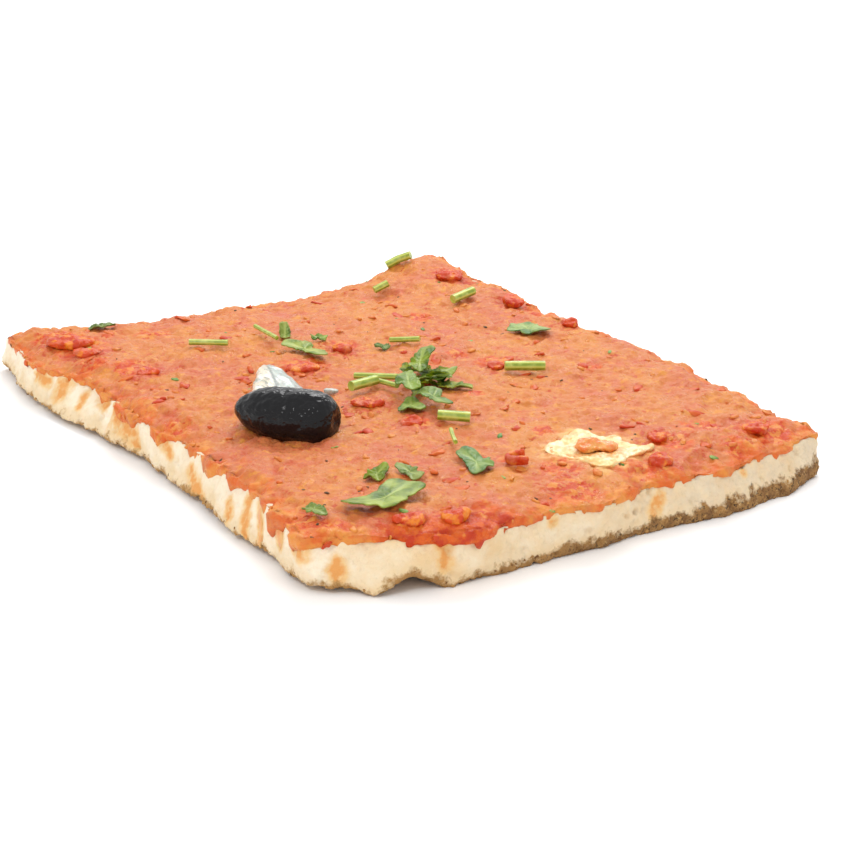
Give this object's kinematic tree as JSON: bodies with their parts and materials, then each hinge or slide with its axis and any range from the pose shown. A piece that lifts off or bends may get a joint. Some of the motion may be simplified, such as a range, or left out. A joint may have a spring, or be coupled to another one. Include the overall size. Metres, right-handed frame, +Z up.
{
  "type": "square pizza slice",
  "caption": "Hand-cut square slice of thick tray pizza, dough under tomato sauce with olive, anchovy, cheese and chopped parsley on top; rests flat on its crust.",
  "frame": {"origin": "middle of the slice's box, on the surface that the slice rests on", "axes": "+X along the front cut side towards the right corner, +Y along the left cut side towards the back, +Z up out of the sauce"},
  "size_m": [0.1268, 0.168, 0.0205],
  "materials": {
    "bread_crumb": "matte",
    "tomato_sauce": "satin",
    "tomato_flesh": "gloss",
    "tomato_on_cheese": "gloss",
    "melted_cheese": "satin",
    "olive_skin": "gloss",
    "anchovy_skin": "satin",
    "parsley_leaf": "satin",
    "parsley_stalk": "satin"
  },
  "bodies": {
    "root": {"anchovy": "anchovy_skin", "anchovy_flake": "anchovy_skin", "cheese": "melted_cheese", "dough": "bread_crumb", "leaf_by_stalk": "parsley_leaf", "leaf_crinkled": "parsley_leaf", "leaf_front_left": "parsley_leaf", "leaf_front_right": "parsley_leaf", "leaf_large": "parsley_leaf", "leaf_left_back": "parsley_leaf", "leaf_long": "parsley_leaf", "leaf_long_tip": "parsley_leaf", "leaf_near_corner": "parsley_leaf", "leaf_scrap": "parsley_leaf", "leaf_with_stalk": "parsley_leaf", "olive": "olive_skin", "sauce": "tomato_sauce", "sprig_leaf_front": "parsley_leaf", "sprig_leaf_left": "parsley_leaf", "sprig_leaf_low": "parsley_leaf", "sprig_leaf_right": "parsley_leaf", "sprig_leaf_tip": "parsley_leaf", "sprig_leaf_up": "parsley_leaf", "sprig_stalk_back": "parsley_stalk", "sprig_stalk_front": "parsley_stalk", "sprig_stalk_thick": "parsley_stalk", "stalk_back_edge": "parsley_stalk", "stalk_back_right": "parsley_stalk", "stalk_back_small": "parsley_stalk", "stalk_below_sprig": "parsley_stalk", "stalk_front": "parsley_stalk", "stalk_left": "parsley_stalk", "stalk_long_leaf": "parsley_stalk", "stalk_middle": "parsley_stalk", "stalk_middle_right": "parsley_stalk", "tomato_on_cheese": "tomato_on_cheese", "tomato_piece_01": "tomato_flesh", "tomato_piece_02": "tomato_flesh", "tomato_piece_03": "tomato_flesh", "tomato_piece_04": "tomato_flesh", "tomato_piece_05": "tomato_flesh", "tomato_piece_06": "tomato_flesh", "tomato_piece_07": "tomato_flesh", "tomato_piece_08": "tomato_flesh", "tomato_piece_09": "tomato_flesh", "tomato_piece_10": "tomato_flesh", "tomato_piece_11": "tomato_flesh", "tomato_piece_12": "tomato_flesh", "tomato_piece_13": "tomato_flesh", "tomato_piece_14": "tomato_flesh", "tomato_piece_15": "tomato_flesh", "tomato_piece_16": "tomato_flesh", "tomato_skin_curl": "tomato_flesh"}
  },
  "joints": []
}
